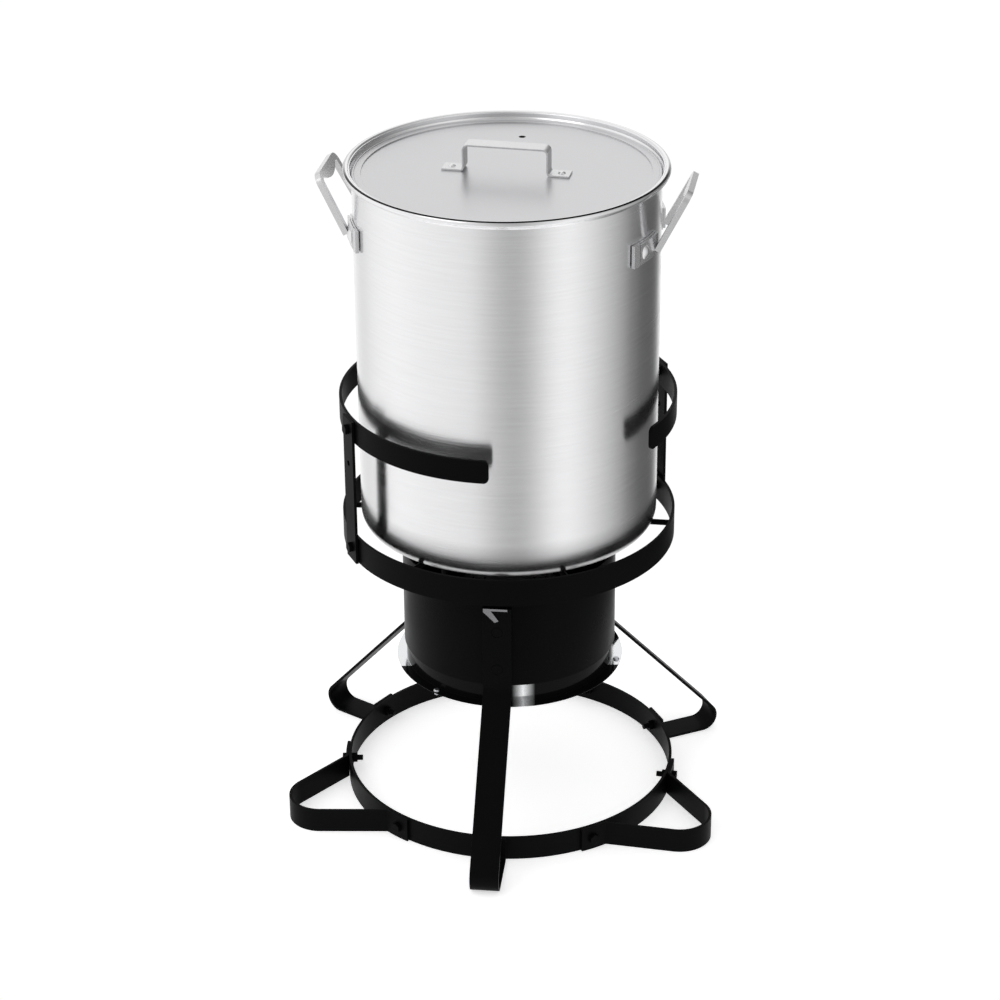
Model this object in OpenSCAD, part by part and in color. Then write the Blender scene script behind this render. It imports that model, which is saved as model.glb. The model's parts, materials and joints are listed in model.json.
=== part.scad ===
// Outdoor propane pot burner on a strap stand, with its stock pot and lid.
// Millimetres. Origin on the ground on the stand axis, +Z up, front is -Y.

/* [Straps] */
// Thickness of every strap of the stand
strap_t = 3; // [2:0.5:5]
// Gap left where two curved faces meet
seat_gap = 0.3; // [0.2:0.05:0.5]

/* [Base] */
// Outer radius of the base ring
base_r = 176.3; // [150:0.1:210]
// Height of the base ring strap
base_h = 26.5; // [20:0.5:32]
// Turn of the whole stand about its axis
stand_turn = 23.5; // [0:0.5:60]
// Half angle of an outrigger loop
loop_half = 24.3; // [20:0.1:29]
// Distance from the axis to the outer face of an outrigger branch
loop_off = 125; // [115:0.5:132]
// Reach of an outrigger tip
loop_reach = 254.5; // [235:0.5:275]
// Length of an outrigger end along the base ring
loop_tail_len = 28.5; // [22:0.5:34]
// Length along the base ring from the bend to the bolt
loop_bolt_in = 15.5; // [12:0.5:20]
// Bolt diameter in the base
base_bolt_d = 6; // [5:0.5:8]

/* [Legs] */
// Width of a leg strap
leg_w = 30; // [22:1:38]
// Height of the bend below the wind screen
knee_z = 170.5; // [160:0.5:180]
// Reach of a foot from the axis
foot_reach = 246.5; // [235:0.5:258]
// Outer radius of the foot bend
foot_bend = 17; // [12:0.5:24]
// Inner radius of the bend below the wind screen
knee_bend = 8; // [5:0.5:14]
// Height of the top end of a leg
leg_top = 264; // [255:1:275]
// Bolt diameter in the legs
leg_bolt_d = 6; // [5:0.5:8]
// Height of the lower leg bolts
leg_bolt_low = 192; // [188:1:200]
// Height of the upper leg bolts
leg_bolt_high = 236; // [230:1:240]

/* [Leg clip] */
// Sheet of the clip at the top of the front leg
clip_t = 1.2; // [0.8:0.1:1.6]
// Length of its bar
clip_len = 25; // [20:1:28]
// Height of its bar
clip_bar = 2.6; // [2:0.2:4]
// Width of its slanted tongue
clip_w = 7; // [5:0.5:9]
// Drop of its slanted tongue
clip_drop = 16; // [12:1:18]

/* [Wind screen] */
// Outer radius of the wind screen
screen_r = 112.3; // [108:0.1:118]
// Height of its lower edge
screen_z = 172; // [170:0.5:176]
// Height of its upper edge
screen_top = 284; // [275:1:292]
// Sheet thickness of the wind screen
screen_t = 1.2; // [0.8:0.1:2]

/* [Heat shield] */
// Height of the lip of the heat shield
shield_z = 150.5; // [147:0.5:155]
// Outer radius of the lip
shield_lip = 120.5; // [116:0.5:124]
// Sheet thickness of the heat shield
shield_t = 0.8; // [0.6:0.1:1.2]
// Gap between shield wall and wind screen
shield_gap = 0.8; // [0.5:0.1:1.5]
// Height of the shield floor above the lip
shield_h = 26.5; // [24:0.5:29]

/* [Burner] */
// Radius of the burner head
head_r = 56; // [48:1:64]
// Height of the burner head above the bracket
head_h = 48; // [44:1:54]
// Radius of the foot under the burner head
boss_r = 17; // [14:0.5:20]
// Radius of the mixing tube
tube_r = 13; // [11:0.5:15]
// Height of the tube axis above the bracket
tube_up = 26; // [24:1:29]
// Distance from the axis to the tube end plate
tube_end = 168; // [155:1:180]
// Radius of the bell and of the air shutter
bell_r = 24; // [22:0.5:28]
// Width of the burner bracket
bracket_w = 26; // [20:1:32]
// Radius of the brass inlet shank
spud_r = 6; // [5:0.25:7]
// Radius of the inlet thread
inlet_r = 7.94; // [7.5:0.01:8.5]
// Length of the inlet thread
inlet_len = 13; // [10:0.5:16]
// Radial running gap of the air shutter on the inlet shank
shutter_fit = 0.08; // [0.05:0.01:0.1]
// Turn of the air shutter from open to closed
shutter_swing = 62; // [50:1:64]

/* [Pot ring] */
// Gap between the pot and the retaining ring
pot_gap = 16.3; // [12:0.1:22]
// Height of the pot ring strap
ring_h = 28.5; // [24:0.5:32]
// Height of the lower edge of the pot ring
ring_z = 299; // [296:0.5:301]
// Diameter of the pot rods
rod_d = 6; // [5:0.5:8]
// Turn of the pot rods about the axis
rod_turn = -8; // [-12:1:-4]

/* [Retaining ring] */
// Height of the lower edge of the retaining ring
keep_z = 434.5; // [420:0.5:450]
// Height of the retaining ring strap
keep_h = 24.5; // [20:0.5:30]
// Left end of the opening in the retaining ring
keep_open_a = -96.5; // [-110:0.5:-85]
// Right end of the opening in the retaining ring
keep_open_b = -35; // [-50:0.5:-25]
// Corner radius at the ends of the retaining ring
end_r = 6; // [3:0.5:9]
// Width of an upright
upright_w = 25.4; // [20:0.2:30]
// Drop of the spare hole below the upper bolts
spare_drop = 38; // [30:1:50]
// Bolt diameter in the uprights
upright_bolt_d = 6; // [5:0.5:8]

/* [Pot] */
// Outer radius of the pot
pot_r = 154; // [150:0.5:155]
// Wall of the pot
pot_wall = 1.5; // [1:0.1:2.5]
// Thickness of the pot floor
pot_floor = 2.5; // [2:0.5:5]
// Height of the pot base
pot_z = 318; // [316:0.5:320]
// Height where the wall starts to flare
seat_z = 692; // [687:0.5:695]
// Height of the flare
flare_h = 5; // [4:0.5:6]
// Height of the rim top
pot_top = 702.6; // [701:0.1:708]
// Reach of the rim past the wall
rim_out = 8.6; // [8:0.1:9.5]
// Radius of the rolled bead
bead_r = 3.2; // [2.8:0.1:3.4]
// Radius of the base corner
corner_r = 12; // [8:0.5:20]
// Turn of the pot handles about the axis
pot_turn = -9.5; // [-15:0.5:0]

/* [Pot handles] */
// Middle height of the handle brackets
bracket_z = 641; // [625:1:645]
// Height of the handle brackets
bracket_h = 23; // [18:1:26]
// Sheet of the brackets
bracket_sheet = 1.5; // [1:0.25:2]
// Angle from the handle middle to the end pad of a bracket
bracket_end = 28; // [27:0.5:34]
// Width of an end pad
pad_w = 9; // [6:0.5:10]
// Height of an end pad above the bracket
pad_up = 3.6; // [2.5:0.1:5]
// Angle from the handle middle to a rivet
rivet_at = 22.5; // [22:0.1:25]
// Shank diameter of the handle rivets
rivet_d = 5; // [4:0.5:6]
// Head radius of the handle rivets
rivet_head = 7.2; // [6:0.1:8]
// Gap between the pot wall and the inner face of a grip
grip_out = 27; // [24:0.5:34]
// Height of the middle of the grips
grip_z = 691; // [682:1:694]
// Half length of a grip
grip_half = 33; // [28:1:36]
// Half spacing of the handle legs at the brackets
handle_half = 38; // [36:1:42]
// Bend radius of the handle corners
bar_bend = 8; // [6:0.5:12]
// Width of the handle channel
bar_w = 7.5; // [6.5:0.5:10]
// Depth of the handle channel
bar_t = 6; // [5:0.5:8]
// Sheet of the handle channel
bar_sheet = 1.8; // [1.5:0.1:2]

/* [Lid] */
// Sheet of the lid
lid_t = 1.2; // [0.8:0.1:1.6]
// Gap between the lid edge and the rim
lid_gap = 2; // [1:0.1:2.4]
// Radius of the rolled lid edge
lip_r = 1.5; // [1.2:0.1:1.8]
// Width of the flange round the flat panel
lid_step = 8; // [6:0.5:12]
// Depth of the flat panel under the flange
panel_dip = 1.2; // [0.5:0.1:2]
// Turn of the lid handle about the axis
lid_turn = -12; // [-30:1:30]
// Height of the lid handle above the lid
lift_h = 28; // [24:1:40]
// Half distance between the uprights of the lid handle
lift_half = 41.5; // [36:0.5:52]
// Distance from an upright to its rivet
lift_foot = 14; // [12:1:20]
// Width of the lid handle strap
lift_w = 18; // [12:1:24]
// Thickness of the lid handle strap
lift_t = 2; // [1.5:0.25:3]
// Shank diameter of the lid rivets
lid_rivet_d = 4; // [3:0.5:5]
// Diameter of the vent hole
vent_d = 7; // [4:0.5:10]
// Distance of the vent hole from the axis
vent_at = 103; // [80:0.5:120]

/* [Hidden] */
$fn = 96;
t = strap_t;
g = seat_gap;

ring_r = pot_r + pot_gap + t;
rim_r = pot_r + rim_out;
lid_r = rim_r - 2 * bead_r - 0.6 - lid_gap;
panel_r = lid_r - lid_step;
grip_reach = pot_r + grip_out;
leg_az = [stand_turn - 120, stand_turn, stand_turn + 120];
loop_az = [stand_turn - 180, stand_turn - 60, stand_turn + 60];
loop_axis_bend = (loop_off / sin(loop_half) - loop_reach) / (1 / sin(loop_half) - 1);
loop_meet = asin(loop_off / (base_r + seat_gap + strap_t)) - loop_half;
loop_tail = loop_meet + degrees(loop_tail_len, base_r);
loop_bolt = loop_meet + degrees(loop_bolt_in, base_r);
upright_az = [stand_turn - 180, stand_turn, stand_turn + 95];
tube_az = stand_turn + 60;
leg_x = screen_r + g;
knee_x = leg_x + t + knee_bend;
foot_x = foot_reach - foot_bend;
leg_slope = atan2(knee_x - foot_x, knee_z - foot_bend)
  + acos((foot_bend + knee_bend) / norm([knee_x - foot_x, knee_z - foot_bend]));
floor_z = shield_z + shield_h;
bracket_t = 3;
screen_in = screen_r - screen_t;
bracket_r = sqrt(pow(screen_in - g, 2) - pow(bracket_w / 2, 2));
burner_z = floor_z + bracket_t;
tube_z = burner_z + tube_up;
head_z = burner_z + head_h;
hub = spud_r + 4;
slot_r = (hub + bell_r - 2.5) / 2;
screw_az = 170;
rod_z = pot_z - g - rod_d / 2;
rod_in = screen_r - screen_t - g - rod_d / 2;
ring_mid = ring_z + ring_h / 2;
keep_mid = keep_z + keep_h / 2;
out_face = ring_r + g + t;
bead_z = pot_top - bead_r;
pot_in = pot_r - pot_wall;
rim_in = rim_r - 2 * bead_r - 0.6;
flare = norm([rim_in - pot_in, flare_h]);
lip_z = seat_z + ((lip_r + g) * flare + (lid_r - lip_r - pot_in) * flare_h) / (rim_in - pot_in);
flange_z = lip_z - lid_t / 2;
panel_z = flange_z - panel_dip;
foot_out = pot_r + g + bracket_sheet + g;
foot_z = bracket_z - bracket_h / 2 + 6;
foot_in = sqrt(pow(foot_out + 0.2, 2) - pow(handle_half - bar_w / 2, 2));
tab_t = bar_sheet + 0.6;
tab_in = asin((handle_half - bar_w / 2) / foot_out) - 0.8;
tilt = atan((grip_reach - foot_in) / (grip_z - foot_z));
slant = norm([grip_reach - foot_in, grip_z - foot_z]);
lean = atan((handle_half - grip_half) / slant);

black = "#1b1b1d";
zinc = "#b9bcc0";
alu = "#cfd1d3";

function degrees(len, r) = len / r * 180 / PI;

// Shared shapes
module ring_wall(r, w, h) {
  difference() {
    cylinder(r = r, h = h);
    translate([0, 0, -1]) cylinder(r = r - w, h = h + 2);
  }
}

module slice(a0, a1, r) {
  n = ceil((a1 - a0) / 30);
  polygon(concat([[0, 0]], [for (i = [0:n]) let (a = a0 + (a1 - a0) * i / n) r * [cos(a), sin(a)]]));
}

module arc2d(ri, ro, a0, a1) {
  intersection() {
    difference() {
      circle(r = ro);
      circle(r = ri);
    }
    slice(a0, a1, ro * 1.6);
  }
}

module side(w) {
  translate([0, w / 2, 0]) rotate([90, 0, 0]) linear_extrude(w) children();
}

module radial(az, z, x) {
  rotate([0, 0, az]) translate([x, 0, z]) rotate([0, 90, 0]) children();
}

function hex_d(d) = 5 / 3 * d / cos(30);

module hex_bolt(d) {
  cylinder(d = hex_d(d), h = 2 / 3 * d, $fn = 6);
  translate([0, 0, -3 * d]) cylinder(d = d, h = 3 * d + 0.5);
}

module hex_nut(d) {
  difference() {
    cylinder(d = hex_d(d), h = 5 / 6 * d, $fn = 6);
    translate([0, 0, -1]) cylinder(d = d + 2 * g, h = d + 2);
  }
}

module bore(az, z, x, d, len) {
  radial(az, z, x - len / 2) cylinder(d = d, h = len);
}

// Base
module base_ring() color(black) {
  difference() {
    ring_wall(base_r, t, base_h);
    for (a = loop_az, s = [-1, 1]) bore(a + s * loop_bolt, base_h / 2, base_r, base_bolt_d + 2 * g, 20);
    for (a = leg_az) bore(a, base_h / 2, base_r, base_bolt_d + 2 * g, 20);
  }
}

function arc_points(c, r, a0, a1, n) = [for (i = [0:n]) let (a = a0 + (a1 - a0) * i / n) c + r * [cos(a), sin(a)]];

function loop_side(off, r_ring, r_tip) = let (meet = asin(off / r_ring) - loop_half)
  concat(arc_points([0, 0], r_ring, loop_tail, meet, 8),
    arc_points([loop_reach - loop_axis_bend, 0], r_tip, 90 - loop_half, loop_half - 90, 32),
    arc_points([0, 0], r_ring, -meet, -loop_tail, 8));

module outrigger(az) color(black) {
  ro = base_r + g;
  outer = loop_side(loop_off, ro + t, loop_axis_bend);
  inner = loop_side(loop_off - t, ro, loop_axis_bend - t);
  rotate([0, 0, az]) difference() {
    linear_extrude(base_h) polygon(concat(outer, [for (i = [len(inner) - 1:-1:0]) inner[i]]));
    for (s = [-1, 1]) bore(s * loop_bolt, base_h / 2, ro, base_bolt_d + 2 * g, 20);
  }
}

module left_outrigger() outrigger(loop_az[0]);

module right_outrigger() outrigger(loop_az[1]);

module rear_outrigger() outrigger(loop_az[2]);

module base_bolts() color(black) {
  x = base_r + g + t + g;
  for (a = loop_az, s = [-1, 1]) radial(a + s * loop_bolt, base_h / 2, x) hex_bolt(base_bolt_d);
  for (a = leg_az) radial(a, base_h / 2, x) hex_bolt(base_bolt_d);
}

module base_nuts() color(black) {
  x = base_r - t - g - 5 / 6 * base_bolt_d;
  for (a = loop_az, s = [-1, 1]) radial(a + s * loop_bolt, base_h / 2, x) hex_nut(base_bolt_d);
  for (a = leg_az) radial(a, base_h / 2, x) hex_nut(base_bolt_d);
}

// Legs
function bend(c, r, a0, a1, side, n) = [for (i = [0:n]) let (a = a0 + (a1 - a0) * i / n)
  [c + r * [cos(a), sin(a)], side * [cos(a), sin(a)]]];

module strip(path, w) {
  n = len(path) - 1;
  polygon(concat([for (p = path) p[0] + p[1] * w / 2], [for (i = [n:-1:0]) path[i][0] - path[i][1] * w / 2]));
}

module leg_profile() {
  tx = base_r + g;
  strip(concat([[[leg_x + t / 2, leg_top], [1, 0]]],
    bend([knee_x, knee_z], knee_bend + t / 2, 180, 270 - leg_slope, -1, 10),
    bend([foot_x, foot_bend], foot_bend - t / 2, 90 - leg_slope, -90, 1, 24),
    bend([tx + t + 3, t + 3], 3 + t / 2, 270, 180, 1, 8),
    [[[tx + t / 2, base_h], [-1, 0]]]), t);
}

module leg(az) color(black) {
  rotate([0, 0, az]) difference() {
    side(leg_w) leg_profile();
    bore(0, base_h / 2, base_r, base_bolt_d + 2 * g, 20);
    for (z = [leg_bolt_low, leg_bolt_high]) {
      bore(0, z, screen_r, leg_bolt_d + 2 * g, 20);
      radial(0, z, leg_x) cylinder(d1 = leg_bolt_d + 2 * g, d2 = leg_bolt_d + 2 * (t + g), h = t + 0.01);
    }
  }
}

module front_leg() leg(leg_az[0]);

module right_leg() leg(leg_az[1]);

module left_leg() leg(leg_az[2]);

module leg_screws() color(black) {
  len = leg_x - bracket_r + bracket_t + g + leg_bolt_d;
  for (a = leg_az, z = [leg_bolt_low, leg_bolt_high]) radial(a, z, leg_x) {
    cylinder(d1 = leg_bolt_d, d2 = leg_bolt_d + 2 * t - 0.4, h = t - 0.2);
    translate([0, 0, -len]) cylinder(d = leg_bolt_d, h = len + 0.01);
  }
}

module leg_nuts() color(black) {
  nut_h = 5 / 6 * leg_bolt_d;
  for (a = leg_az) {
    radial(a, leg_bolt_low, bracket_r - bracket_t - g - nut_h) hex_nut(leg_bolt_d);
    radial(a, leg_bolt_high, screen_in - g - nut_h) hex_nut(leg_bolt_d);
  }
}

module leg_clip() color(zinc) {
  w = leg_w / 2;
  rotate([0, 0, leg_az[0]]) translate([leg_x + t, 0, leg_top]) rotate([90, 0, 90]) linear_extrude(clip_t) {
    polygon([[1 - w, 0], [1 - w + clip_len, 0], [1 - w + clip_len, -clip_bar], [clip_w + 2 - w, -clip_bar],
      [2, 2 - clip_drop], [-2, -clip_drop], [1 - w, -4]]);
  }
}

// Wind screen and heat shield
module wind_screen() color(black) {
  difference() {
    translate([0, 0, screen_z]) ring_wall(screen_r, screen_t, screen_top - screen_z);
    for (a = leg_az, z = [leg_bolt_low, leg_bolt_high]) bore(a, z, screen_r, leg_bolt_d + 2 * g, 16);
    radial(tube_az, tube_z, screen_r - 10) cylinder(r = tube_r + 1.5, h = 20);
    }
}

module heat_shield() color(zinc) {
  wall = screen_r - screen_t - shield_gap;
  difference() {
    translate([0, 0, shield_z]) union() {
      ring_wall(wall, shield_t, shield_h);
      ring_wall(shield_lip, shield_lip - wall + shield_t, shield_t);
      translate([0, 0, shield_h - shield_t]) cylinder(r = wall, h = shield_t);
    }
    translate([0, 0, shield_z]) cylinder(d = 8 + 2 * g, h = 60);
    for (a = [0, 120, 240]) rotate([0, 0, leg_az[0] - 35 + a])
      translate([shield_lip - 4.8, 0, shield_z - 2]) cylinder(d = 3.2 + 2 * g, h = 6);
  }
}

module shield_screws() color(zinc) {
  for (a = [0, 120, 240]) rotate([0, 0, leg_az[0] - 35 + a]) translate([shield_lip - 4.8, 0, shield_z]) {
    translate([0, 0, shield_t]) cylinder(r1 = 3.6, r2 = 2.6, h = 1.8);
    translate([0, 0, -4]) cylinder(d = 3.2, h = 5);
    translate([0, 0, -2.4]) cylinder(d = 6.4, h = 2.4, $fn = 6);
  }
}

// Burner
module burner_bracket() color("#3a3b3d") {
  difference() {
    for (a = leg_az) rotate([0, 0, a]) translate([0, -bracket_w / 2, floor_z]) {
      cube([bracket_r, bracket_w, bracket_t]);
      translate([bracket_r - bracket_t, 0, 0]) cube([bracket_t, bracket_w, leg_bolt_low + 9 - floor_z]);
    }
    translate([0, 0, floor_z - 1]) cylinder(d = 8 + 2 * g, h = 20);
    for (a = leg_az) bore(a, leg_bolt_low, bracket_r, leg_bolt_d + 2 * g, 20);
  }
}

module burner_bowl() color("#2b2b2b") {
  rotate([0, 0, tube_az]) translate([0, 0, burner_z]) difference() {
    union() {
      cylinder(r = boss_r, h = boss_r - 1);
      translate([0, 0, 10]) cylinder(r1 = boss_r + 5, r2 = head_r, h = head_h - 20);
      translate([0, 0, head_h - 10.01]) cylinder(r = head_r, h = 4);
      translate([0, 0, tube_up]) rotate([0, 90, 0]) cylinder(r = tube_r + 4, h = head_r + 10);
    }
    translate([0, 0, -1]) cylinder(d = 8, h = 12);
    translate([0, 0, 16]) cylinder(r1 = boss_r + 2, r2 = head_r - 5, h = head_h - 22);
    translate([0, 0, head_h - 6.01]) cylinder(r = head_r + 30, h = 20);
    translate([0, 0, tube_up]) rotate([0, 90, 0]) cylinder(r = tube_r + g, h = 80);
    for (a = [90, 210, 330]) rotate([0, 0, a]) translate([head_r - 4, 0, head_h - 14])
      cylinder(d = 3 + 2 * g, h = 20);
  }
}

module burner_cap() color("#262626") {
  translate([0, 0, head_z - 6]) difference() {
    union() {
      cylinder(r = head_r, h = 4);
      translate([0, 0, 4]) cylinder(r1 = head_r, r2 = head_r - 10, h = 4);
    }
    translate([0, 0, -1]) cylinder(r = 14, h = 3);
    for (i = [0:23]) rotate([0, 0, i * 15 + 7.5]) translate([head_r - 14, 0, -1]) cylinder(d = 3.2, h = 12);
    for (i = [0:11]) rotate([0, 0, i * 30]) translate([head_r - 26, 0, -1]) cylinder(d = 3.2, h = 12);
    for (a = [90, 210, 330]) rotate([0, 0, tube_az + a]) {
      translate([head_r - 4, 0, -1]) cylinder(d = 3 + 2 * g, h = 12);
      translate([head_r - 4, 0, 4]) cylinder(d = 7, h = 8);
    }
  }
}

module cap_screws() color(zinc) {
  for (a = [90, 210, 330]) rotate([0, 0, tube_az + a]) translate([head_r - 4, 0, head_z - 2]) {
    cylinder(r1 = 3, r2 = 2.2, h = 2.4);
    translate([0, 0, -9]) cylinder(d = 3, h = 9.5);
  }
}

module burner_bolt() color(zinc) {
  translate([0, 0, floor_z - shield_t - 5]) {
    cylinder(d = 13 / cos(30), h = 5, $fn = 6);
    cylinder(d = 8, h = 5 + shield_t + bracket_t + 10);
  }
}

module kidney(ri, ro, a0, a1, h) {
  linear_extrude(h) arc2d(ri, ro, a0, a1);
}

module on_tube(x) {
  rotate([0, 0, tube_az]) translate([x, 0, tube_z]) rotate([0, 90, 0]) children();
}

module mixer_tube() color("#8f9296") {
  on_tube(0) difference() {
    union() {
      translate([0, 0, 40]) cylinder(r = tube_r, h = tube_end - 56);
      translate([0, 0, tube_end - 18]) cylinder(r1 = tube_r, r2 = bell_r, h = 16);
      translate([0, 0, tube_end - 2.01]) cylinder(r = bell_r, h = 2.01);
    }
    translate([0, 0, 39]) cylinder(r = tube_r - 2, h = tube_end - 56);
    difference() {
      translate([0, 0, tube_end - 18.5]) cylinder(r1 = tube_r - 2, r2 = bell_r - 2, h = 16.5);
      translate([0, 0, tube_end - 10]) cylinder(r = hub, h = 12);
    }
    translate([0, 0, tube_end - 12]) cylinder(r = spud_r + g, h = 20);
    for (a = [5, 185]) translate([0, 0, tube_end - 3]) kidney(hub + 1, bell_r - 3.5, a, a + 60, 6);
    rotate(screw_az) translate([slot_r, 0, tube_end - 4]) cylinder(d = 2.4 + 2 * g, h = 8);
  }
}

module air_shutter() color("#a8abae") {
  on_tube(tube_end + g) difference() {
    union() {
      cylinder(r = bell_r, h = 1.5);
      rotate(300) translate([0, -4, 0]) cube([bell_r + 9, 8, 1.5]);
    }
    translate([0, 0, -1]) cylinder(r = spud_r + shutter_fit, h = 4);
    for (a = [5, 185]) translate([0, 0, -1]) kidney(hub + 1, bell_r - 3.5, a, a + 60, 4);
    translate([0, 0, -1]) kidney(slot_r - 2, slot_r + 2, screw_az - shutter_swing, screw_az, 4);
    for (a = [0, shutter_swing]) rotate(screw_az - a) translate([slot_r, 0, -1]) cylinder(d = 3.8, h = 4);
  }
}

module shutter_spring() color(zinc) {
  on_tube(tube_end + g + 1.5 + g) difference() {
    cylinder(r1 = spud_r + 3, r2 = spud_r + 2.2, h = 1.6);
    translate([0, 0, -1]) cylinder(r = spud_r + g, h = 4);
  }
}

module shutter_screw() color(zinc) {
  on_tube(tube_end) rotate(screw_az) translate([slot_r, 0, 0]) {
    translate([0, 0, -3]) cylinder(d = 2.4, h = 6);
    translate([0, 0, g + 1.5 + g]) cylinder(r1 = 3.2, r2 = 2.6, h = 2);
  }
}

module gas_spud() color("#b5923f") {
  on_tube(tube_end) difference() {
    union() {
      translate([0, 0, -9]) cylinder(r = spud_r, h = 14);
      translate([0, 0, 4.2]) cylinder(d = 17 / cos(30), h = 8, $fn = 6);
      translate([0, 0, 12.2]) cylinder(r = inlet_r, h = inlet_len);
      translate([0, 0, 12.2 + inlet_len]) cylinder(r1 = inlet_r, r2 = inlet_r - 3, h = 3);
    }
    translate([0, 0, 1]) cylinder(r = inlet_r * 0.4, h = inlet_len + 20);
    translate([0, 0, -12]) cylinder(r = 0.8, h = 20);
  }
}

// Pot ring and retaining ring
module pot_ring() color(black) {
  difference() {
    translate([0, 0, ring_z]) ring_wall(ring_r, t, ring_h);
    for (a = upright_az) bore(a, ring_mid, ring_r, upright_bolt_d + 2 * g, 20);
  }
}

module pot_rods() color(black) {
  for (i = [0:5]) rotate([0, 0, rod_turn + 60 * i]) {
    translate([rod_in, 0, rod_z]) rotate([0, 90, 0]) cylinder(d = rod_d, h = ring_r - t - g - rod_in);
    translate([rod_in, 0, rod_z]) sphere(d = rod_d, $fn = 48);
    translate([rod_in, 0, screen_top - 18]) cylinder(d = rod_d, h = rod_z - screen_top + 18);
  }
}

module corner_cut(az, s) {
  c = end_r - 0.1;
  radial(az, keep_mid, ring_r - 15) linear_extrude(30) for (k = [-1, 1]) difference() {
    translate([k * (keep_h / 2 - c / 2 + 0.5), s * (c / 2 - 0.5)]) square(c + 1, center = true);
    translate([k * (keep_h / 2 - c), s * c]) circle(r = end_r);
  }
}

module retaining_ring() color(black) {
  difference() {
    translate([0, 0, keep_z]) linear_extrude(keep_h) arc2d(ring_r - t, ring_r, keep_open_b, 360 + keep_open_a);
    for (a = upright_az) bore(a, keep_mid, ring_r, upright_bolt_d + 2 * g, 20);
    corner_cut(keep_open_b, 1);
    corner_cut(keep_open_a, -1);
  }
}

module upright(az) color(black) {
  rotate([0, 0, az]) difference() {
    translate([ring_r + g, -upright_w / 2, ring_z]) cube([t, upright_w, keep_z + keep_h - ring_z]);
    bore(0, ring_mid, ring_r, upright_bolt_d + 2 * g, 20);
    bore(0, keep_mid, ring_r, upright_bolt_d + 2 * g, 20);
    bore(0, keep_mid - spare_drop, ring_r, upright_bolt_d, 20);
  }
}

module left_upright() upright(upright_az[0]);

module right_upright() upright(upright_az[1]);

module back_upright() upright(upright_az[2]);

module upright_bolts() color(black) {
  for (a = upright_az, z = [ring_mid, keep_mid]) radial(a, z, out_face) {
    cylinder(d = hex_d(upright_bolt_d), h = 2 / 3 * upright_bolt_d, $fn = 6);
    translate([0, 0, -7 / 3 * upright_bolt_d]) cylinder(d = upright_bolt_d, h = 7 / 3 * upright_bolt_d + 0.5);
  }
}

module upright_nuts() color(black) {
  for (a = upright_az, z = [ring_mid, keep_mid])
    radial(a, z, ring_r - t - g - 5 / 6 * upright_bolt_d) hex_nut(upright_bolt_d);
}

// Pot
module cup2d(r, z0, c, top) {
  translate([0, z0]) square([r - c, top - z0]);
  translate([0, z0 + c]) square([r, top - z0 - c]);
  intersection() {
    translate([r - c, z0 + c]) circle(r = c);
    translate([r - c, z0]) square([c, c]);
  }
}

module flare2d(r0, r1, top) {
  polygon([[0, seat_z], [r0, seat_z], [r1, seat_z + flare_h], [r1, top], [0, top]]);
}

module pot_body() color(alu) {
  difference() {
    rotate_extrude($fn = 180) {
      difference() {
        union() {
          cup2d(pot_r, pot_z, corner_r, seat_z);
          flare2d(pot_r, rim_in + pot_wall, bead_z + 1.5);
          translate([rim_r - bead_r, bead_z]) circle(r = bead_r, $fn = 48);
        }
        cup2d(pot_in, pot_z + pot_floor, corner_r - pot_wall, seat_z);
        flare2d(pot_in, rim_in, pot_top + 1);
      }
    }
    for (s = [0, 180], k = [-1, 1]) bore(pot_turn + s + k * rivet_at, bracket_z, pot_r, rivet_d + 2 * g, 14);
  }
}

module handle_frame(w, past) {
  c = [handle_half - (bar_bend + sin(lean) * (slant - bar_bend)) / cos(lean), slant - bar_bend];
  foot = [handle_half + past * sin(lean), -past * cos(lean)];
  strip(concat([[foot, [cos(lean), sin(lean)]]],
    bend(c, bar_bend, lean, 90, 1, 8),
    bend([-c[0], c[1]], bar_bend, 90, 180 - lean, 1, 8),
    [[[-foot[0], foot[1]], [-cos(lean), sin(lean)]]]), w);
}

module grip_plate() {
  low = slant - bar_w / 2;
  intersection() {
    translate([-grip_half, low - 10]) square([2 * grip_half, 10 + bar_sheet / 2]);
    translate([0, slant + 36]) circle(r = 47);
  }
}

module handle(s) color(alu) {
  rotate([0, 0, pot_turn + s]) {
    translate([foot_in, 0, foot_z]) rotate([0, tilt, 0]) rotate([90, 0, 90]) {
      difference() {
        linear_extrude(bar_t) handle_frame(bar_w, 0);
        translate([0, 0, bar_sheet]) linear_extrude(bar_t) handle_frame(bar_w - 2 * bar_sheet, 1);
      }
      linear_extrude(bar_sheet) grip_plate();
    }
    difference() {
      translate([0, 0, bracket_z - bracket_h / 2 + 1]) linear_extrude(bracket_h - 2) for (k = [0, 1])
        mirror([0, k]) arc2d(foot_out, foot_out + tab_t, tab_in, bracket_end - degrees(pad_w / 2 + 1, foot_out));
      for (k = [-1, 1]) bore(k * rivet_at, bracket_z, foot_out, rivet_d + 2 * g, 14);
    }
  }
}

module left_handle() handle(180);

module right_handle() handle(0);

module pot_brackets() color(alu) {
  r = pot_r + g;
  for (s = [0, 180]) rotate([0, 0, pot_turn + s]) difference() {
    translate([0, 0, bracket_z - bracket_h / 2]) for (k = [0, 1]) mirror([0, k, 0]) {
      linear_extrude(bracket_h) arc2d(r, r + bracket_sheet, tab_in - 0.6, bracket_end);
      rotate([0, 0, bracket_end]) translate([r + 0.5, -pad_w / 2, 0]) cube([pad_up, pad_w, bracket_h]);
    }
    for (k = [-1, 1]) bore(k * rivet_at, bracket_z, r, rivet_d + 2 * g, 14);
  }
}

module dome(r, h) {
  big = (r * r + h * h) / (2 * h);
  intersection() {
    translate([0, 0, h - big]) sphere(r = big, $fn = 64);
    cylinder(r = r + 1, h = h + 1);
  }
}

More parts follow.
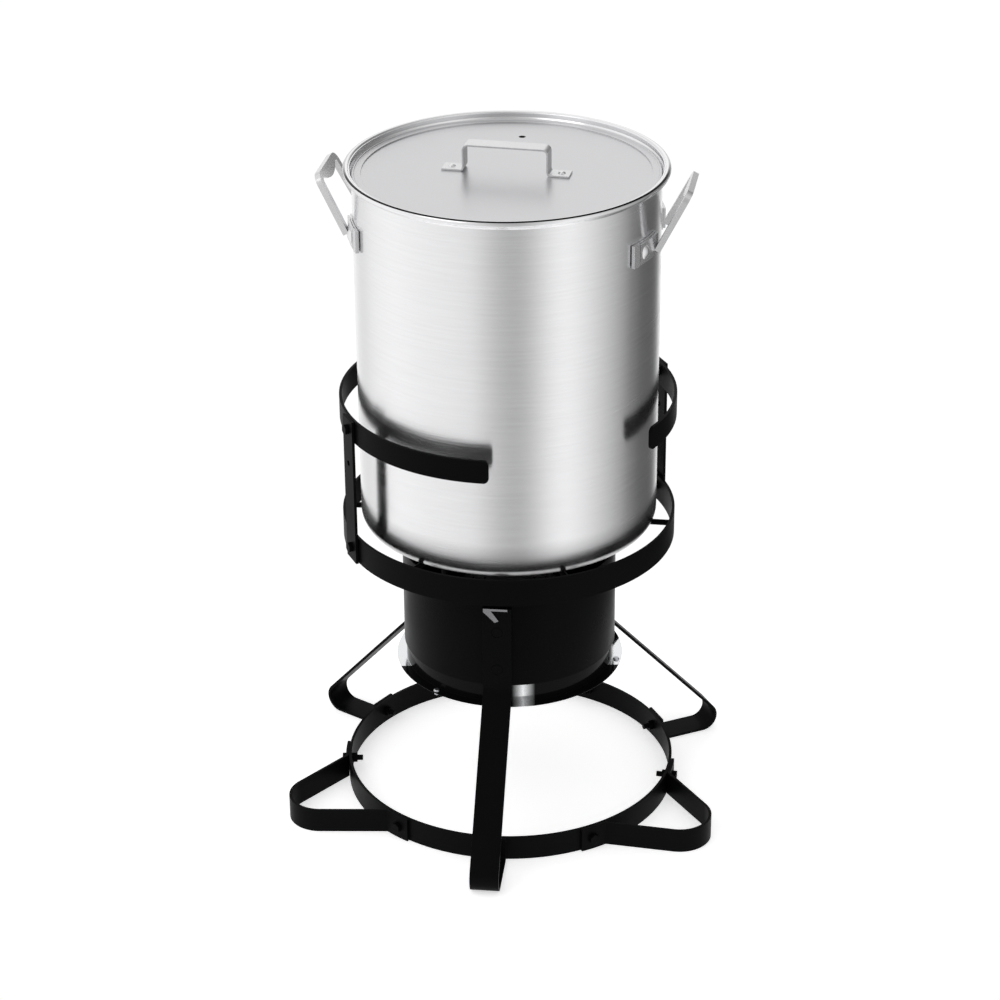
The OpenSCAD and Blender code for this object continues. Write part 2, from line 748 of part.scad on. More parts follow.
module handle_rivets() color(zinc) {
  x = foot_out + tab_t;
  for (s = [0, 180], k = [-1, 1]) radial(pot_turn + s + k * rivet_at, bracket_z, x) {
    dome(rivet_head, 3.2);
    translate([0, 0, pot_in - 0.8 - x]) cylinder(d = rivet_d, h = x - pot_in + 1.3);
    translate([0, 0, pot_in - 1.9 - x]) cylinder(d = 9, h = 1.6);
  }
}

// Lid
module lid() color(alu) {
  difference() {
    rotate_extrude($fn = 180) {
      translate([0, panel_z]) square([panel_r, lid_t]);
      translate([panel_r - lid_t, panel_z]) square([lid_t, panel_dip + lid_t]);
      translate([panel_r - lid_t, flange_z]) square([lid_r - lip_r - panel_r + lid_t, lid_t]);
      translate([lid_r - lip_r, lip_z]) circle(r = lip_r, $fn = 32);
    }
    rotate([0, 0, lid_turn + 93]) translate([vent_at, 0, panel_z - 1]) cylinder(d = vent_d, h = 5);
    lid_holes();
  }
}

module lid_holes() {
  rotate([0, 0, lid_turn]) for (s = [-1, 1]) translate([s * (lift_half + lift_foot), 0, panel_z - 1])
    cylinder(d = lid_rivet_d + 2 * g, h = 8);
}

module lid_handle() color(alu) {
  z = panel_z + lid_t;
  ri = 4 - lift_t;
  ro = 6;
  difference() {
    rotate([0, 0, lid_turn]) side(lift_w) for (s = [0, 1]) mirror([s, 0]) {
      translate([lift_half + 4 - 0.05, z]) square([lift_foot + 5, lift_t]);
      translate([lift_half + 4, z + 4]) arc2d(ri, 4, 180, 270);
      translate([lift_half, z + 3.95]) square([lift_t, lift_h - 9.9]);
      translate([lift_half + lift_t - ro, z + lift_h - ro]) arc2d(ro - lift_t, ro, 0, 90);
      translate([-0.1, z + lift_h - lift_t]) square([lift_half + lift_t - ro + 0.15, lift_t]);
    }
    lid_holes();
  }
}

module lid_rivets() color(zinc) {
  z = panel_z + lid_t + lift_t;
  rotate([0, 0, lid_turn]) for (s = [-1, 1]) translate([s * (lift_half + lift_foot), 0, z]) {
    dome(4, 2);
    translate([0, 0, -lid_t - lift_t - 0.5]) cylinder(d = lid_rivet_d, h = lid_t + lift_t + 1);
    translate([0, 0, -lid_t - lift_t - 1.6]) cylinder(d = 7, h = 1.6);
  }
}

base_ring();
front_leg();
right_leg();
left_leg();
left_outrigger();
right_outrigger();
rear_outrigger();
base_bolts();
base_nuts();
wind_screen();
leg_screws();
leg_nuts();
leg_clip();
heat_shield();
shield_screws();
burner_bracket();
burner_bowl();
burner_cap();
cap_screws();
burner_bolt();
mixer_tube();
air_shutter();
shutter_spring();
shutter_screw();
gas_spud();
pot_ring();
pot_rods();
retaining_ring();
left_upright();
right_upright();
back_upright();
upright_bolts();
upright_nuts();
pot_body();
left_handle();
right_handle();
pot_brackets();
handle_rivets();
lid();
lid_handle();
lid_rivets();
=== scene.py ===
# %% [markdown]
# An outdoor pot burner: a black strap stand with a wind screen, and on it a brushed stock pot with its lid.
# The frame holds the true solids, one node for each kind of piece. This lesson gives every node the finish
# that the workshop would give it, and rebuilds its mesh with the small rounds that sheared strap, pressed
# sheet and castings have.

# %% Load the frame
import bpy
import bmesh
import json
import math
from mathutils import Matrix, Vector


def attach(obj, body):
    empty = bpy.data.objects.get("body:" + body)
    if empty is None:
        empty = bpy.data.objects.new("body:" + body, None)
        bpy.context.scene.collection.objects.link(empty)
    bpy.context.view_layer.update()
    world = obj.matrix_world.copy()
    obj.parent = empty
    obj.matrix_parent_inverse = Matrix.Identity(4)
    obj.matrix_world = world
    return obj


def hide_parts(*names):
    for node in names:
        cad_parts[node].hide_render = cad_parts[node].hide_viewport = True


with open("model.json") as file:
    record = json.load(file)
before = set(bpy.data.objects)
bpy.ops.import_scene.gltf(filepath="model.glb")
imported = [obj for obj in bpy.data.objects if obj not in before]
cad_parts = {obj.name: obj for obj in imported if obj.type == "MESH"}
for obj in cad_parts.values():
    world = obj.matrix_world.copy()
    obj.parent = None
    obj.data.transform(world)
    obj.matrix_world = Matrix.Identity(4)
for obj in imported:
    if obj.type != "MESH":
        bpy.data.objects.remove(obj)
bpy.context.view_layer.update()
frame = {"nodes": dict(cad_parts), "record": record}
NODES = frame["nodes"]
BODY_OF = {node: body for body, nodes in frame["record"]["behaviour"]["bodies"].items() for node in nodes}
SLOT_OF = {part["node"]: part["material_slot"] for part in frame["record"]["subparts"]}

# %% [markdown]
# The photograph looks at the burner from the front and above. Level circles, such as the pot's rim and the
# rings, show as flat ovals, and these gave the camera: 2.6 m in front, 1.66 m high, looking down by 27
# degrees through a long lens, so that the pot's sides run almost parallel. A Track To constraint could aim
# it too, but a matrix built from three directions also holds the roll, which is under half a degree.

# %% Camera
CAM_PLACE = Vector((0.0, -2.62858, 1.65514))
CAM_PITCH, CAM_YAW, CAM_ROLL = 0.4668, -0.0035, -0.0079
CAM_FOCAL_PX, SENSOR_MM, IMAGE_PX = 2813.92, 36.0, 1000.0
CAM_REACH = 60.0


def add_camera():
    forward = Vector((math.sin(CAM_YAW) * math.cos(CAM_PITCH), math.cos(CAM_YAW) * math.cos(CAM_PITCH),
                      -math.sin(CAM_PITCH)))
    right = Vector((math.cos(CAM_YAW), -math.sin(CAM_YAW), 0.0))
    up = right.cross(forward)
    right, up = (math.cos(CAM_ROLL) * right + math.sin(CAM_ROLL) * up,
                 math.cos(CAM_ROLL) * up - math.sin(CAM_ROLL) * right)
    data = bpy.data.cameras.new("camera")
    data.sensor_fit = "HORIZONTAL"
    data.sensor_width = SENSOR_MM
    data.lens = CAM_FOCAL_PX * SENSOR_MM / IMAGE_PX
    data.clip_end = CAM_REACH
    cam = bpy.data.objects.new("camera", data)
    cam.matrix_world = Matrix.Translation(CAM_PLACE) @ Matrix((right, up, -forward)).transposed().to_4x4()
    bpy.context.scene.collection.objects.link(cam)
    bpy.context.scene.camera = cam
    return cam


camera = add_camera()
print("lens:", round(camera.data.lens, 2), "mm")

# %% [markdown]
# Every finish below is a small tree of shader nodes, which could be wired by hand in the editor. In a script,
# helpers that add one node each and hand back its result keep the wiring readable. What is given as a number
# is typed into the node, and what is given as a socket is linked to it.

# %% Node helpers
def node(tree, kind, inputs=None, **props):
    added = tree.nodes.new(kind)
    for key, value in props.items():
        setattr(added, key, value)
    for key, value in (inputs or {}).items():
        if isinstance(value, bpy.types.NodeSocket):
            tree.links.new(value, added.inputs[key])
        else:
            added.inputs[key].default_value = value
    return added


def calc(tree, operation, *values):
    return node(tree, "ShaderNodeMath", dict(enumerate(values)), operation=operation).outputs[0]


def product(tree, value, *others):
    for other in others:
        value = calc(tree, "MULTIPLY", value, other)
    return value


def map_range(tree, value, low, high, to_low, to_high):
    return node(tree, "ShaderNodeMapRange", {"Value": value, "From Min": low, "From Max": high,
                                             "To Min": to_low, "To Max": to_high}).outputs["Result"]


def blend(tree, share, first, second):
    return node(tree, "ShaderNodeMix", {0: share, 6: first, 7: second}, data_type="RGBA").outputs[2]


print("helpers:", [helper.__name__ for helper in (node, calc, product, map_range, blend)])

# %% [markdown]
# A pattern has to stay on its piece when the piece moves, so all of them read Object coordinates, which are
# the frame's own metres here. Their three axes are often wanted one by one, and so is a noise texture.

# %% Places and noise
def place_on_piece(tree):
    return tree.nodes.new("ShaderNodeTexCoord").outputs["Object"]


def axes(tree, vector):
    return node(tree, "ShaderNodeSeparateXYZ", {0: vector}).outputs


def length(tree, vector):
    return node(tree, "ShaderNodeVectorMath", {0: vector}, operation="LENGTH").outputs["Value"]


def noise(tree, vector, scale, detail, rough):
    return node(tree, "ShaderNodeTexNoise", {"Vector": vector, "Scale": scale, "Detail": detail,
                                             "Roughness": rough}).outputs["Fac"]


print("helpers:", [helper.__name__ for helper in (place_on_piece, axes, length, noise)])

# %% [markdown]
# Powder paint, cast iron and plated steel all have a fine grain, and soft clouds where the skin is thinner.
# An image could hold them, but it would need unwrapped pieces. Noise needs none, and as many finishes share
# it, it is a node group with its own scales: one group is built once and placed in each material.

# %% Grain
GRAIN_DETAIL, GRAIN_ROUGH = 3.0, 0.5
CLOUD_DETAIL, CLOUD_ROUGH = 4.0, 0.6


def start_group(name, inputs, outputs):
    group = bpy.data.node_groups.new(name, "ShaderNodeTree")
    for label, value in inputs.items():
        given = group.interface.new_socket(name=label, in_out="INPUT", socket_type="NodeSocketFloat")
        given.default_value = value
    for label in outputs:
        group.interface.new_socket(name=label, in_out="OUTPUT", socket_type="NodeSocketFloat")
    return group, group.nodes.new("NodeGroupInput"), group.nodes.new("NodeGroupOutput")


def grain_group():
    group, given, result = start_group("grain", {"Scale": 800.0, "Cloud Scale": 12.0}, ("Grain", "Cloud"))
    place = place_on_piece(group)
    grain = noise(group, place, given.outputs["Scale"], GRAIN_DETAIL, GRAIN_ROUGH)
    cloud = noise(group, place, given.outputs["Cloud Scale"], CLOUD_DETAIL, CLOUD_ROUGH)
    group.links.new(grain, result.inputs["Grain"])
    group.links.new(cloud, result.inputs["Cloud"])
    return group


GRAIN = grain_group()
print("group:", GRAIN.name)

# %% [markdown]
# The pot is brushed as it turns on the lathe, so its lines run level round the wall, and on the lid they are
# circles about the middle. Such a line is noise that hardly changes along the brushing and quickly across it.
# Along, it reads the sine and cosine of the angle, which meet without a seam where the angle itself would
# jump. Across, it reads the height on a wall and the radius on a flat sheet, and Flat picks which. The bands
# are the same noise stretched, because brushes wear unevenly.

# %% Brushed lines
LINE_DETAIL, LINE_ROUGH = 3.0, 0.6
BAND_DETAIL, BAND_ROUGH, BAND_STRETCH = 2.0, 0.5, 0.08


def brush_group():
    group, given, result = start_group("brushed", {"Across": 900.0, "Along": 2.0, "Flat": 0.0},
                                       ("Lines", "Bands"))
    across, along, flat = (given.outputs[label] for label in ("Across", "Along", "Flat"))
    x, y, z = axes(group, place_on_piece(group))
    angle = calc(group, "ARCTAN2", y, x)
    radius = calc(group, "SQRT", calc(group, "ADD", product(group, x, x), product(group, y, y)))
    level = calc(group, "ADD", product(group, radius, flat),
                 product(group, z, calc(group, "SUBTRACT", 1.0, flat)))
    ring = node(group, "ShaderNodeCombineXYZ", {
        0: product(group, calc(group, "COSINE", angle), along),
        1: product(group, calc(group, "SINE", angle), along),
        2: product(group, level, across)}).outputs[0]
    wide = node(group, "ShaderNodeVectorMath", {0: ring, 1: (1.0, 1.0, BAND_STRETCH)},
                operation="MULTIPLY").outputs[0]
    group.links.new(noise(group, ring, 1.0, LINE_DETAIL, LINE_ROUGH), result.inputs["Lines"])
    group.links.new(noise(group, wide, 1.0, BAND_DETAIL, BAND_ROUGH), result.inputs["Bands"])
    return group


BRUSHED = brush_group()
print("group:", BRUSHED.name)

# %% [markdown]
# Each material is one Principled shader. What is the same all over is typed into the shader, and a pattern
# from a group changes three things: how light the metal is, how rough it is, and how it is raised. Most of a
# noise lies between 0.3 and 0.7, so that stretch is spread over the whole range of roughness.

# %% Material helpers
PATTERN_LOW, PATTERN_HIGH = 0.3, 0.7


def new_material(name, color, metallic, roughness, **constants):
    mat = bpy.data.materials.new(name)
    mat.use_nodes = True
    shader = mat.node_tree.nodes["Principled BSDF"]
    shader.inputs["Base Color"].default_value = (*color, 1.0)
    shader.inputs["Metallic"].default_value = metallic
    shader.inputs["Roughness"].default_value = roughness
    for key, value in constants.items():
        shader.inputs[key.replace("_", " ")].default_value = value
    return mat, mat.node_tree, shader


def use_group(tree, group, **inputs):
    return node(tree, "ShaderNodeGroup", {key.replace("_", " "): value for key, value in inputs.items()},
                node_tree=group).outputs


def shade(color, factor):
    return [c * factor for c in color]


def tint(tree, shader, pattern, dark, light):
    tree.links.new(blend(tree, pattern, (*dark, 1.0), (*light, 1.0)), shader.inputs["Base Color"])


def vary_roughness(tree, shader, pattern, low, high):
    tree.links.new(map_range(tree, pattern, PATTERN_LOW, PATTERN_HIGH, low, high), shader.inputs["Roughness"])


def raise_surface(tree, shader, height, distance, strength=0.5):
    bump = node(tree, "ShaderNodeBump", {"Height": height, "Distance": distance, "Strength": strength})
    tree.links.new(bump.outputs["Normal"], shader.inputs["Normal"])


print("node groups:", [g.name for g in bpy.data.node_groups])

# %% [markdown]
# The stand is dusted with black powder and baked. That gives an even coat with a faint orange skin and a soft
# shine, a little thinner here and there. A plain black would look like a hole, so the clouds shift its
# darkness and its shine, and the fine grain raises the skin. The wind screen shines a little more than the
# straps in the photograph, so it has a smoother coat of its own.

# %% Powder coat
COAT_THIN, COAT_THICK, COAT_CLOUDS = 1.25, 0.8, 18.0
COAT_SHINIER, COAT_DULLER = 0.05, 0.06
SKIN_SCALE, SKIN_DEPTH, SKIN_STRENGTH = 700.0, 0.00004, 0.6


def powder_coat(name, color, roughness, shine):
    mat, tree, shader = new_material(name, color, 0.0, roughness, Specular_IOR_Level=shine)
    skin = use_group(tree, GRAIN, Scale=SKIN_SCALE, Cloud_Scale=COAT_CLOUDS)
    tint(tree, shader, skin["Cloud"], shade(color, COAT_THICK), shade(color, COAT_THIN))
    vary_roughness(tree, shader, skin["Cloud"], roughness - COAT_SHINIER, roughness + COAT_DULLER)
    raise_surface(tree, shader, skin["Grain"], SKIN_DEPTH, SKIN_STRENGTH)
    return mat


BLACK = powder_coat("black_coat", (0.003, 0.003, 0.0033), 0.42, 0.03)
SCREEN_BLACK = powder_coat("screen_coat", (0.0022, 0.0022, 0.0025), 0.3, 0.033)
print("coats:", BLACK.name, SCREEN_BLACK.name)

# %% [markdown]
# Two marks on the pot are painted shade, both darkened with one black. On the real pot a thin dark gap runs
# between the lid and the front of the rolled bead, dark with the shadow inside it. The lid here is seated
# level, which hides such a gap, so its shadow is painted as a line along the bead, from 4 to 46 degrees
# outwards from its crown, strong in front and weak behind. The second is a darker band low on the wall, a
# painted reflection of the dark ring below, with an edge that wavers as the brushing does.

# %% Painted shade on the pot
BEAD_RADIUS, BEAD_LEVEL = 0.1594, 0.6994
GAP_SHADOW_FROM, GAP_SHADOW_TO = math.radians(4.0), math.radians(46.0)
GAP_SHADOW_FRONT_Y, GAP_SHADOW_BACK_Y, GAP_SHADOW_BEHIND = -0.035, 0.0, 0.35
RING_SHADE_LOW, RING_SHADE_HIGH, RING_SHADE_WAVE, RING_SHADE_MOST = 0.328, 0.358, 0.006, 0.55
# The black that the painted shadow line and the painted ring reflection are mixed towards.
PAINTED_SHADE_BLACK = (0.02, 0.02, 0.02, 1.0)


# Painted shadow: a dark line on the bead that stands in for the shade in the gap between lid and rim.
def bead_gap_shadow(tree, _lines):
    x, y, z = axes(tree, place_on_piece(tree))
    reach = length(tree, node(tree, "ShaderNodeCombineXYZ", {0: x, 1: y, 2: 0.0}).outputs[0])
    angle = calc(tree, "ARCTAN2", calc(tree, "SUBTRACT", reach, BEAD_RADIUS),
                 calc(tree, "SUBTRACT", z, BEAD_LEVEL))
    return product(tree, calc(tree, "GREATER_THAN", angle, GAP_SHADOW_FROM),
                   calc(tree, "LESS_THAN", angle, GAP_SHADOW_TO), calc(tree, "GREATER_THAN", z, BEAD_LEVEL),
                   map_range(tree, y, GAP_SHADOW_FRONT_Y, GAP_SHADOW_BACK_Y, 1.0, GAP_SHADOW_BEHIND))


# Painted reflection: a darker band low on the pot wall that stands in for the dark ring below, mirrored in
# the metal.
def ring_reflection_shade(tree, lines):
    z = axes(tree, place_on_piece(tree))["Z"]
    wavy = calc(tree, "MULTIPLY_ADD", lines["Bands"], RING_SHADE_WAVE, z)
    return map_range(tree, wavy, RING_SHADE_LOW + RING_SHADE_WAVE / 2, RING_SHADE_HIGH + RING_SHADE_WAVE / 2, RING_SHADE_MOST, 0.0)


def darken(tree, shader, where):
    paint = shader.inputs["Base Color"].links[0].from_socket
    tree.links.new(blend(tree, where, paint, PAINTED_SHADE_BLACK), shader.inputs["Base Color"])


print("gap shadow radius:", BEAD_RADIUS, "ring shade up to:", RING_SHADE_HIGH)

# %% [markdown]
# Brushing spreads a highlight across the lines, so the light on the pot stands up and down in tall soft
# bands. Bump alone would need lines finer than a pixel, so the shader's own anisotropy does the spreading and
# the lines add what the eye can still see. The lid is the same sheet but more matt. The turned brass inlet
# gets finer lines, level ones too, which is near enough at its size.

# %% Brushed metal
LINE_WANDER = 2.5


def brushed_metal(name, color, roughness, flat=0.0, across=900.0, depth=0.00002, spread=0.1, tone=0.06,
                  marks=(), **gloss):
    mat, tree, shader = new_material(name, color, 1.0, roughness, **gloss)
    lines = use_group(tree, BRUSHED, Across=across, Along=LINE_WANDER, Flat=flat)
    tint(tree, shader, lines["Lines"], shade(color, 1 - tone), shade(color, 1 + tone))
    for mark in marks:
        darken(tree, shader, mark(tree, lines))
    mean = calc(tree, "MULTIPLY", calc(tree, "ADD", lines["Lines"], lines["Bands"]), 0.5)
    vary_roughness(tree, shader, mean, roughness - spread / 2, roughness + spread / 2)
    raise_surface(tree, shader, lines["Lines"], depth)
    return mat


# The pot's marks are painted shade: the shadow line at the lid's gap and the dark reflection of the ring.
POT = brushed_metal("pot_aluminium", (0.88, 0.88, 0.89), 0.22, across=560.0, depth=0.00012, spread=0.12,
                    marks=(bead_gap_shadow, ring_reflection_shade), Anisotropic=0.8, Anisotropic_Rotation=0.25)
LID = brushed_metal("lid_aluminium", (0.63, 0.63, 0.64), 0.31, flat=1.0, across=500.0, depth=0.000004,
                    spread=0.03, tone=0.015)
BRASS = brushed_metal("brass", (0.72, 0.50, 0.2), 0.25, across=1400.0)
print("brushed:", POT.name, LID.name, BRASS.name)

# %% [markdown]
# The other metals have no direction. The handles are pressed and tumbled aluminium, with a dull oxide that
# scatters some light, so they are a little less than full metal. The burner is cast iron with a sandy skin,
# the screws, clip and shutter are zinc plated, the mixing tube has a dull plating, and the strap under the
# burner is darkened by heat. One function with a grain scale, a depth and a darkest cloud covers them all.

# %% Grained metals
GRAIN_SPREAD = 0.1
METAL_CLOUDS = 30.0


def grained_metal(name, color, roughness, scale=500.0, depth=0.00002, dark=0.85, metallic=1.0):
    mat, tree, shader = new_material(name, color, metallic, roughness)
    skin = use_group(tree, GRAIN, Scale=scale, Cloud_Scale=METAL_CLOUDS)
    tint(tree, shader, skin["Cloud"], shade(color, dark), color)
    vary_roughness(tree, shader, skin["Grain"], roughness - GRAIN_SPREAD / 2, roughness + GRAIN_SPREAD / 2)
    raise_surface(tree, shader, skin["Grain"], depth)
    return mat


HANDLE = grained_metal("handle_aluminium", (0.79, 0.79, 0.8), 0.27, scale=900.0, metallic=0.85)
LID_HANDLE = grained_metal("lid_handle_aluminium", (0.78, 0.78, 0.79), 0.3, scale=900.0)
RIVET = grained_metal("rivet_aluminium", (0.88, 0.88, 0.89), 0.2, scale=700.0)
IRON = grained_metal("cast_iron", (0.035, 0.034, 0.034), 0.62, scale=420.0, depth=0.00025, dark=0.6,
                     metallic=0.6)
ZINC = grained_metal("zinc_steel", (0.62, 0.63, 0.66), 0.3, scale=350.0, depth=0.00003)
CLIP = grained_metal("clip_zinc", (0.4, 0.4, 0.42), 0.25, scale=350.0, depth=0.00003, dark=0.4)
TUBE = grained_metal("plated_tube", (0.42, 0.43, 0.45), 0.38, scale=250.0)
DARK = grained_metal("dark_steel", (0.09, 0.085, 0.085), 0.5, scale=300.0, depth=0.00004, dark=0.6)
print("grained:", [mat.name for mat in (HANDLE, LID_HANDLE, RIVET, IRON, ZINC, CLIP, TUBE, DARK)])

# %% [markdown]
# The heat shield under the wind screen is bright sheet that was coated with the rest. Its lip is left bare at
# the sides, where it mirrors the bright floor, and black elsewhere; the coat in front is painted shade that
# keeps the bend of the lip dark there. A bare patch beside the front leg is a painted highlight. One material
# with a mask does both: the mask mixes the colour and turns the metal on, so the coat needs no piece of its
# own.

# %% Heat shield
BRIGHT, COATED = (0.8, 0.81, 0.82), (0.004, 0.004, 0.0045)
LIP_TOP, LIP_SIDE, LIP_BACK = 0.1517, 0.09, -0.035
GLINT_LEFT, GLINT_RIGHT = (0.002, 0.013), (0.014, 0.026)
SHIELD_CLOUDS, SHIELD_SHINIEST, SHIELD_DULLEST = 40.0, 0.06, 0.16


def shield_steel(name):
    mat, tree, shader = new_material(name, BRIGHT, 1.0, 0.1, Specular_IOR_Level=0.05)
    x, y, z = axes(tree, place_on_piece(tree))
    # Painted highlight: a patch of bare bright metal beside the front leg, placed where a glint should shine.
    glint_patch = product(tree, map_range(tree, x, *GLINT_LEFT, 0.0, 1.0), map_range(tree, x, *GLINT_RIGHT, 1.0, 0.0),
                   calc(tree, "LESS_THAN", y, 0.0))
    # Bare only at the sides; the coat over the front of the lip is painted shade on its bend.
    side = product(tree, calc(tree, "GREATER_THAN", calc(tree, "ABSOLUTE", x), LIP_SIDE),
                   calc(tree, "GREATER_THAN", y, LIP_BACK))
    bare = calc(tree, "MAXIMUM", product(tree, calc(tree, "LESS_THAN", z, LIP_TOP), side), glint_patch)
    tint(tree, shader, bare, COATED, BRIGHT)
    tree.links.new(bare, shader.inputs["Metallic"])
    skin = use_group(tree, GRAIN, Cloud_Scale=SHIELD_CLOUDS)
    vary_roughness(tree, shader, skin["Cloud"], SHIELD_SHINIEST, SHIELD_DULLEST)
    return mat


SHIELD = shield_steel("bright_steel")
print("shield:", SHIELD.name, "bare below z", LIP_TOP)

# %% [markdown]
# The record names a finish for each node, so the nodes are dressed by a table from finish to material. Three
# of them look different in the photograph from the rest of their kind and have a material of their own.

# %% Dress the nodes
FINISH = {"black_coat": BLACK, "bright_steel": SHIELD, "zinc_steel": ZINC, "dark_steel": DARK,
          "cast_iron": IRON, "plated_tube": TUBE, "brass": BRASS, "pot_aluminium": POT,
          "handle_aluminium": HANDLE, "lid_aluminium": LID, "rivet_aluminium": RIVET}
OWN = {"wind_screen": SCREEN_BLACK, "leg_clip": CLIP, "lid_handle": LID_HANDLE}


def dress(obj, finish):
    if not obj.material_slots:
        obj.data.materials.append(finish)
    for slot in obj.material_slots:
        slot.material = finish


for name, obj in NODES.items():
    dress(obj, OWN.get(name, FINISH[SLOT_OF[name]]))
print("finishes:", len(FINISH), "with their own:", sorted(OWN))

# %% [markdown]
# Sheared strap, drilled plate and pressed sheet never have knife edges, and it is the small round on every
# edge that draws the fine light lines of the photograph. A live Bevel modifier could do it, but the solids
# arrive as loose triangles. So a copy of each is merged, its flat triangles are joined to faces, and the
# sharp edges are bevelled by an operator. Weighted normals keep the large faces flat beside the rounds.

# %% Rounded edges
MERGE_DISTANCE = 0.000002
FLAT_ANGLE, SHARP_ANGLE, SMOOTH_ANGLE = math.radians(0.5), math.radians(30.0), math.radians(38.0)
ROUND_STEPS = 2


def round_mesh(mesh, width):
    bm = bmesh.new()
    bm.from_mesh(mesh)
    bmesh.ops.remove_doubles(bm, verts=bm.verts, dist=MERGE_DISTANCE)
    bmesh.ops.dissolve_limit(bm, angle_limit=FLAT_ANGLE, verts=bm.verts, edges=bm.edges)
    bmesh.ops.recalc_face_normals(bm, faces=bm.faces)
    sharp = [e for e in bm.edges if len(e.link_faces) == 2 and e.calc_face_angle(0.0) > SHARP_ANGLE]
    bmesh.ops.bevel(bm, geom=sharp, offset=width, offset_type="OFFSET", segments=ROUND_STEPS, profile=0.5,
                    affect="EDGES", clamp_overlap=True, material=-1)
    bm.to_mesh(mesh)
    bm.free()
    for poly in mesh.polygons:
        poly.use_smooth = True
    mesh.set_sharp_from_angle(angle=SMOOTH_ANGLE)


def soften(name, width):
    mesh = NODES[name].data.copy()
    mesh.name = name + "_soft"
    round_mesh(mesh, width)
    piece = bpy.data.objects.new(name + "_soft", mesh)
    bpy.context.scene.collection.objects.link(piece)
    weigh = piece.modifiers.new("weigh", "WEIGHTED_NORMAL")
    weigh.keep_sharp = True
    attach(piece, BODY_OF[name])
    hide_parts(name)
    return piece


print("edges sharper than", round(math.degrees(SHARP_ANGLE)), "degrees are rounded")

# %% [markdown]
# How round an edge is depends on how the piece was made: castings are the softest, sheared and powder coated
# straps come next, and plated, turned and riveted parts stay crisp. So the width goes with the finish, and
# only the thin sheets of the screen and the clip have a width of their own.

# %% Widths of the rounds
EDGE = {"black_coat": 0.0005, "bright_steel": 0.0002, "zinc_steel": 0.0003, "dark_steel": 0.0005,
        "cast_iron": 0.0008, "plated_tube": 0.0004, "brass": 0.0003, "pot_aluminium": 0.0003,
        "handle_aluminium": 0.0004, "lid_aluminium": 0.0003, "rivet_aluminium": 0.0002}
SHEET_EDGE = {"wind_screen": 0.0003, "leg_clip": 0.0002}
softened = [soften(name, SHEET_EDGE.get(name, EDGE[SLOT_OF[name]])) for name in NODES]
print("rounded:", len(softened), "faces:", sum(len(p.data.polygons) for p in softened))

# %% [markdown]
# The photograph's ground is plain white, with hardly any shadow. A disc does for the floor. It glows a
# little, which washes the shadow out and lights the black undersides, and it fades to nothing at its edge, so
# that no horizon shows.

# %% Floor
FLOOR_RADIUS, FLOOR_SIDES, FLOOR_GLOW = 0.62, 96, 0.55
FADE_FROM, FADE_TO = 0.34, 0.61
WHITE = (1.0, 1.0, 1.0, 1.0)


def add_floor():
    mesh = bpy.data.meshes.new("floor")
    bm = bmesh.new()
    bmesh.ops.create_circle(bm, cap_ends=True, segments=FLOOR_SIDES, radius=FLOOR_RADIUS)
    bm.to_mesh(mesh)
    bm.free()
    mat, tree, shader = new_material("floor", (0.95, 0.95, 0.95), 0.0, 0.9, Emission_Strength=FLOOR_GLOW,
                                     Specular_IOR_Level=0.0)
    shader.inputs["Emission Color"].default_value = WHITE
    fade = map_range(tree, length(tree, place_on_piece(tree)), FADE_FROM, FADE_TO, 1.0, 0.0)
    tree.links.new(product(tree, fade, fade), shader.inputs["Alpha"])
    mesh.materials.append(mat)
    floor = bpy.data.objects.new("floor", mesh)
    bpy.context.scene.collection.objects.link(floor)
    return floor


floor = add_floor()
print("floor:", FLOOR_RADIUS, "m, gone at", FADE_TO, "m")

# %% [markdown]
# A polished pot shows what stands around it. The photograph's dark bands are most likely the gaps between a
# studio's white panels, mirrored in the wall. Panels could stand there as objects, but in a world they
# can't get in the way of the camera. Each stop is a direction in degrees, counted from the right against
# the clock as seen from above, and how bright the studio is there. The curve between the stops is soft.

# %% Studio bands
STUDIO = [(-180.0, 1.0), (-150.0, 0.9), (-118.0, 0.85), (-100.0, 0.55), (-82.0, 0.4), (-66.0, 0.7),
          (-50.0, 1.0), (-34.0, 0.9), (-14.0, 0.62), (4.0, 0.4), (20.0, 0.14), (46.0, 0.1), (59.0, 0.14),
          (68.0, 0.6), (74.0, 1.0), (80.0, 1.0), (110.0, 1.0), (128.0, 0.7), (150.0, 0.95), (180.0, 1.0)]
READY_STOPS = 2


def studio_bands(tree, x, y):
    turn = calc(tree, "MULTIPLY_ADD", calc(tree, "ARCTAN2", y, x), 0.5 / math.pi, 0.5)
    ramp = node(tree, "ShaderNodeValToRGB", {0: turn})
    ramp.color_ramp.interpolation = "B_SPLINE"
    stops = ramp.color_ramp.elements
    for i, (angle, level) in enumerate(STUDIO):
        stop = stops[i] if i < READY_STOPS else stops.new(1.0)
        stop.position = angle / 360.0 + 0.5
        stop.color = (level, level, level, 1.0)
    return ramp.outputs["Color"]


print("bands:", len(STUDIO))

# %% [markdown]
# Up and down, the bands give way to even light: a little from about eye level upwards, more overhead, and
# all of it straight down. High up in front it is dimmer, because the rim's inner wall behind the lid mirrors
# that part and is darker in the photograph. Where the camera sees the world directly, Light Path makes it
# plain white, so that the ground is white from every side while the metal still mirrors the bands.

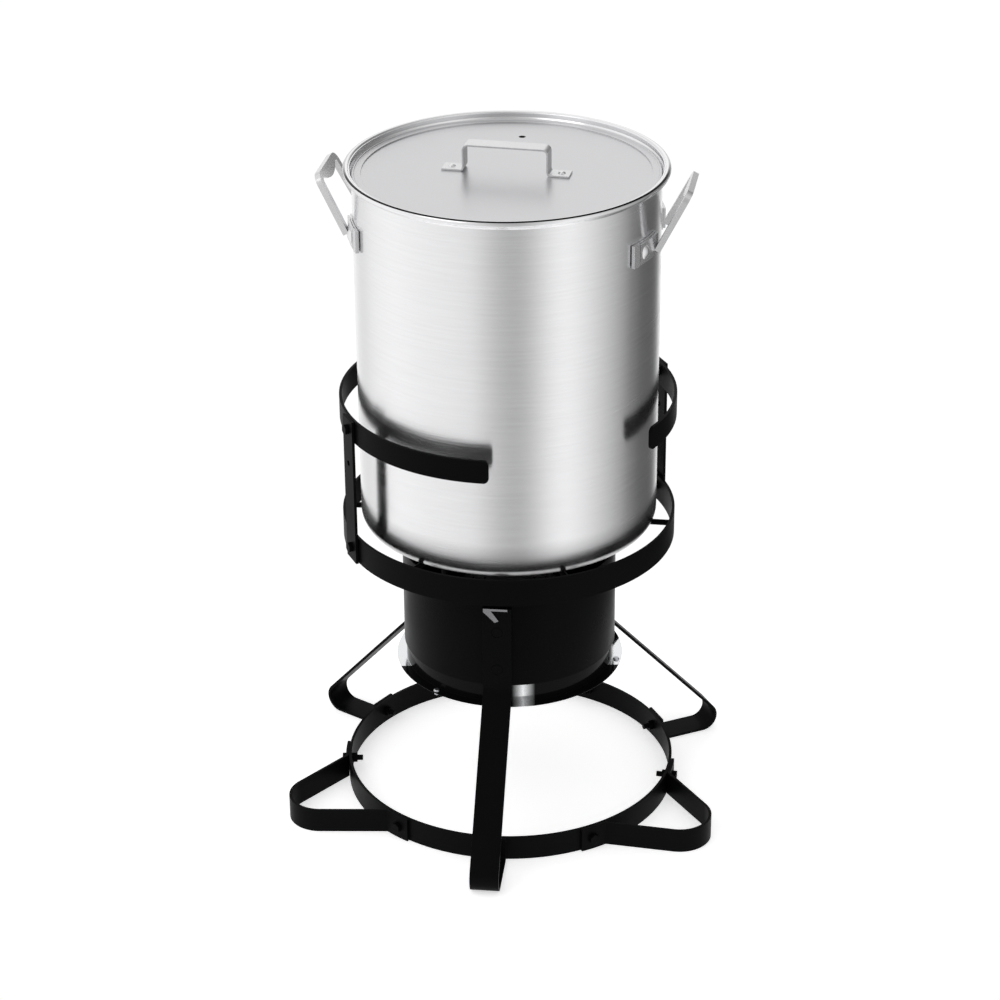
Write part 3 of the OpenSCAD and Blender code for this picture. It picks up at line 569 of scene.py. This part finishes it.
# %% Studio world
MIST_FROM, MIST_TO, MIST = -0.22, 0.1, 0.1
TOP_FROM, TOP_TO, TOP = 0.6, 0.95, 0.4
GROUND_FROM, GROUND_TO = -0.95, -0.8
FRONT_Y, BACK_Y, RAISED = -0.7, 0.3, 0.35
EVEN, EVEN_IN_FRONT = 1.0, 0.25
STUDIO_STRENGTH = 1.02


def add_world():
    world = bpy.data.worlds.new("studio")
    world.use_nodes = True
    tree = world.node_tree
    x, y, z = axes(tree, tree.nodes.new("ShaderNodeTexCoord").outputs["Generated"])
    over = calc(tree, "ADD", map_range(tree, z, MIST_FROM, MIST_TO, 0.0, MIST),
                map_range(tree, z, TOP_FROM, TOP_TO, 0.0, TOP))
    share = calc(tree, "MAXIMUM", over, map_range(tree, z, GROUND_FROM, GROUND_TO, 1.0, 0.0))
    front = product(tree, map_range(tree, y, FRONT_Y, BACK_Y, 1.0, 0.0),
                    map_range(tree, z, 0.0, RAISED, 0.0, 1.0))
    even = map_range(tree, front, 0.0, 1.0, EVEN, EVEN_IN_FRONT)
    studio = blend(tree, share, studio_bands(tree, x, y), even)
    seen = node(tree, "ShaderNodeLightPath").outputs["Is Camera Ray"]
    background = tree.nodes["Background"].inputs
    tree.links.new(blend(tree, seen, studio, WHITE), background["Color"])
    background["Strength"].default_value = STUDIO_STRENGTH
    bpy.context.scene.world = world
    return world


print("world:", add_world().name)

# %% [markdown]
# One large soft panel stands high on the left in front and gives the rounds and the rivets their glint. It is
# weak, because the world lights the object already. The Standard view keeps the white ground white, where
# the default one, which is made like film, would grey it.

# %% Key light
KEY_PLACE, KEY_TARGET = Vector((-1.8, -1.6, 2.6)), Vector((0.0, 0.0, 0.4))
KEY_SIDE, KEY_WATTS = 1.6, 7.0


def add_key():
    data = bpy.data.lights.new("key", "AREA")
    data.shape = "RECTANGLE"
    data.size, data.size_y = KEY_SIDE, KEY_SIDE
    data.energy = KEY_WATTS
    lamp = bpy.data.objects.new("key", data)
    aim = (KEY_TARGET - KEY_PLACE).to_track_quat("-Z", "Y").to_matrix().to_4x4()
    lamp.matrix_world = Matrix.Translation(KEY_PLACE) @ aim
    bpy.context.scene.collection.objects.link(lamp)
    return lamp


key = add_key()
bpy.context.scene.view_settings.view_transform = "Standard"
print("key light:", key.data.energy, "W")
